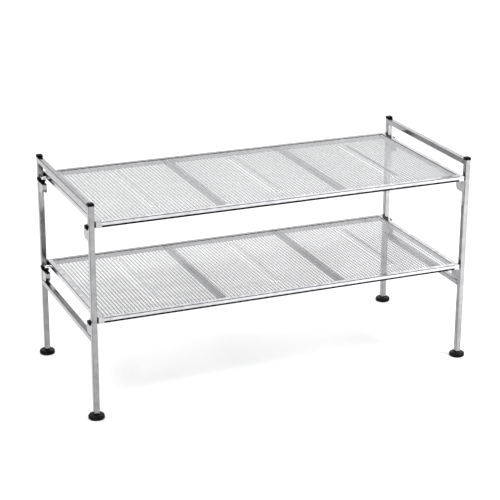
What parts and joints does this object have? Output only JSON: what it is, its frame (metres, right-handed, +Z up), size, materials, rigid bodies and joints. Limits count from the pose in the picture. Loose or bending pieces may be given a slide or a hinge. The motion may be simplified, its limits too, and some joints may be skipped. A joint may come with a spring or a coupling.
{
  "type": "tiered shoe rack",
  "caption": "Low free-standing shoe rack: square-tube chrome end frames carry mesh shelves on pins in plastic saddles, and stand on round levelling feet.",
  "frame": {"origin": "on the floor, under the middle of the rack", "axes": "+X to the right along the width, +Y to the rear, +Z up; the open front is at -Y"},
  "size_m": [0.665, 0.298, 0.3502],
  "materials": {
    "chrome_tube": "bright chrome plate on square steel tube and folded brackets",
    "mesh_steel": "bright plated expanded steel mesh",
    "black_plastic": "black moulded plastic, satin gloss",
    "foot_plastic": "black moulded plastic, glossy",
    "insert_plastic": "black nylon, matt",
    "screw_steel": "zinc-plated screw steel"
  },
  "bodies": {
    "frame": {"bracket_lower_front_left": "chrome_tube", "bracket_lower_front_right": "chrome_tube", "bracket_lower_rear_left": "chrome_tube", "bracket_lower_rear_right": "chrome_tube", "bracket_upper_front_left": "chrome_tube", "bracket_upper_front_right": "chrome_tube", "bracket_upper_rear_left": "chrome_tube", "bracket_upper_rear_right": "chrome_tube", "cap_front_left": "black_plastic", "cap_front_right": "black_plastic", "cap_rear_left": "black_plastic", "cap_rear_right": "black_plastic", "insert_front_left": "insert_plastic", "insert_front_right": "insert_plastic", "insert_rear_left": "insert_plastic", "insert_rear_right": "insert_plastic", "low_rail_left": "chrome_tube", "low_rail_right": "chrome_tube", "post_front_left": "chrome_tube", "post_front_right": "chrome_tube", "post_rear_left": "chrome_tube", "post_rear_right": "chrome_tube", "saddle_lower_front_left": "black_plastic", "saddle_lower_front_right": "black_plastic", "saddle_lower_rear_left": "black_plastic", "saddle_lower_rear_right": "black_plastic", "saddle_upper_front_left": "black_plastic", "saddle_upper_front_right": "black_plastic", "saddle_upper_rear_left": "black_plastic", "saddle_upper_rear_right": "black_plastic", "top_rail_left": "chrome_tube", "top_rail_right": "chrome_tube"},
    "upper_shelf": {"upper_brace_left": "chrome_tube", "upper_brace_right": "chrome_tube", "upper_front_rail": "chrome_tube", "upper_mesh": "mesh_steel", "upper_rear_rail": "chrome_tube", "upper_side_rail_left": "chrome_tube", "upper_side_rail_right": "chrome_tube", "upper_spacers": "black_plastic", "upper_support_pins": "chrome_tube"},
    "lower_shelf": {"lower_brace_left": "chrome_tube", "lower_brace_right": "chrome_tube", "lower_front_rail": "chrome_tube", "lower_mesh": "mesh_steel", "lower_rear_rail": "chrome_tube", "lower_side_rail_left": "chrome_tube", "lower_side_rail_right": "chrome_tube", "lower_spacers": "black_plastic", "lower_support_pins": "chrome_tube"},
    "foot_front_left": {"foot_pad_front_left": "foot_plastic", "foot_stud_front_left": "screw_steel"},
    "foot_front_right": {"foot_pad_front_right": "foot_plastic", "foot_stud_front_right": "screw_steel"},
    "foot_rear_left": {"foot_pad_rear_left": "foot_plastic", "foot_stud_rear_left": "screw_steel"},
    "foot_rear_right": {"foot_pad_rear_right": "foot_plastic", "foot_stud_rear_right": "screw_steel"}
  },
  "joints": [
    {"name": "upper_shelf_lift", "type": "slide", "parent": "frame", "child": "upper_shelf", "axis": [0, 0, 1], "range_m": [0, 0.018]},
    {"name": "lower_shelf_lift", "type": "slide", "parent": "frame", "child": "lower_shelf", "axis": [0, 0, 1], "range_m": [0, 0.018]},
    {"name": "foot_front_left_turn", "type": "hinge", "parent": "frame", "child": "foot_front_left", "pos_m": [-0.3195, -0.136, 0], "axis": [0, 0, 1], "range_deg": [-360, 0]},
    {"name": "foot_front_right_turn", "type": "hinge", "parent": "frame", "child": "foot_front_right", "pos_m": [0.3195, -0.136, 0], "axis": [0, 0, 1], "range_deg": [-360, 0]},
    {"name": "foot_rear_left_turn", "type": "hinge", "parent": "frame", "child": "foot_rear_left", "pos_m": [-0.3195, 0.136, 0], "axis": [0, 0, 1], "range_deg": [-360, 0]},
    {"name": "foot_rear_right_turn", "type": "hinge", "parent": "frame", "child": "foot_rear_right", "pos_m": [0.3195, 0.136, 0], "axis": [0, 0, 1], "range_deg": [-360, 0]}
  ]
}
